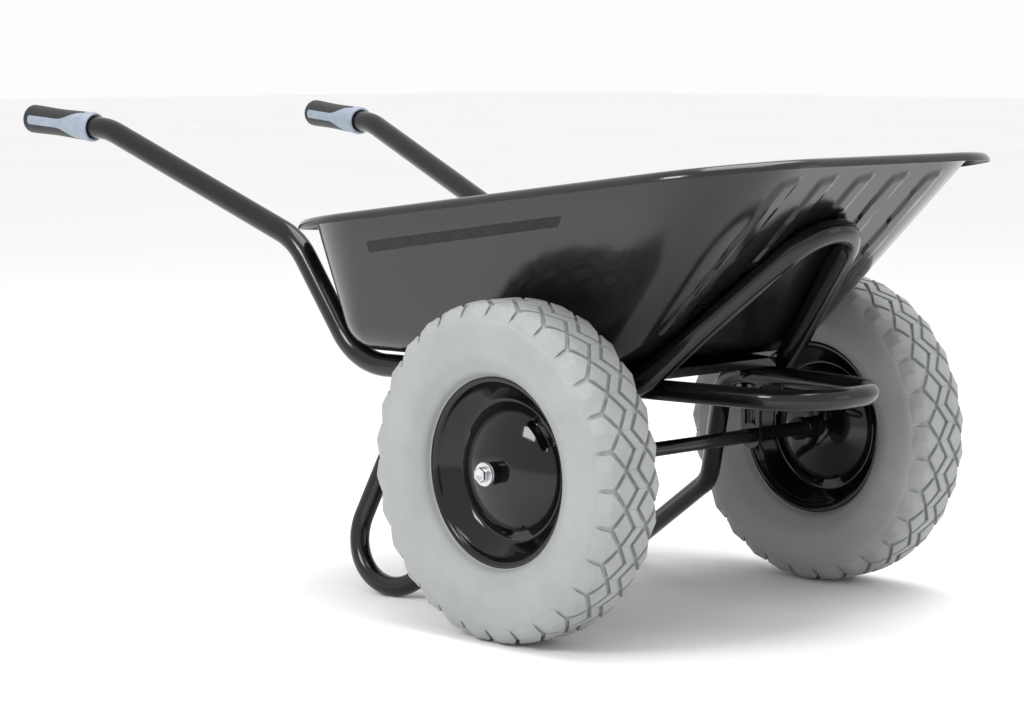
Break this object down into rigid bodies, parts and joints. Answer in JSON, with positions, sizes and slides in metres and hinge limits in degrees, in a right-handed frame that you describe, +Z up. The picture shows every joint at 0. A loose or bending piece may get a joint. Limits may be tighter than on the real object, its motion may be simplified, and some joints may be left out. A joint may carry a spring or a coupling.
{
  "type": "wheelbarrow",
  "caption": "Two-wheeled garden wheelbarrow with a pressed steel tray, bent tube frame with handles, legs and front bumper, and free rolling wheels with solid tyres.",
  "frame": {"origin": "on the ground, under the middle of the overall length, in the middle plane", "axes": "+X towards the tray's nose and the bumper, away from the handles; +Y to the left seen from the handles; +Z up"},
  "size_m": [1.3284, 0.676, 0.6094],
  "materials": {
    "tray_paint": "gloss",
    "frame_paint": "gloss",
    "axle_paint": "satin",
    "rim_paint": "gloss",
    "zinc": "satin",
    "tyre_foam": "matte",
    "bush": "matte",
    "grip_black": "matte",
    "grip_insert": "matte"
  },
  "bodies": {
    "frame": {"tray": "tray_paint", "main_tube": "frame_paint", "leg_tube": "frame_paint", "front_crossbar": "frame_paint", "rear_crossbar": "frame_paint", "axle": "axle_paint", "tray_bolts": "frame_paint", "tray_nuts": "frame_paint", "frame_bolts": "frame_paint", "frame_nuts": "frame_paint", "axle_hanger_left": "frame_paint", "axle_collar_left": "axle_paint", "axle_washer_left": "zinc", "axle_bolt_left": "zinc", "grip_left": "grip_black", "grip_collar_left": "grip_insert", "axle_hanger_right": "frame_paint", "axle_collar_right": "axle_paint", "axle_washer_right": "zinc", "axle_bolt_right": "zinc", "grip_right": "grip_black", "grip_collar_right": "grip_insert"},
    "wheel_left": {"tyre_left": "tyre_foam", "rim_outer_left": "rim_paint", "rim_inner_left": "rim_paint", "hub_tube_left": "rim_paint", "hub_bush_outer_left": "bush", "hub_bush_inner_left": "bush"},
    "wheel_right": {"tyre_right": "tyre_foam", "rim_outer_right": "rim_paint", "rim_inner_right": "rim_paint", "hub_tube_right": "rim_paint", "hub_bush_outer_right": "bush", "hub_bush_inner_right": "bush"}
  },
  "joints": [
    {"name": "wheel_left_roll", "type": "hinge", "parent": "frame", "child": "wheel_left", "pos_m": [0.32785, 0.283, 0.2], "axis": [0, 1, 0], "continuous": true},
    {"name": "wheel_right_roll", "type": "hinge", "parent": "frame", "child": "wheel_right", "pos_m": [0.32785, -0.283, 0.2], "axis": [0, 1, 0], "continuous": true}
  ]
}
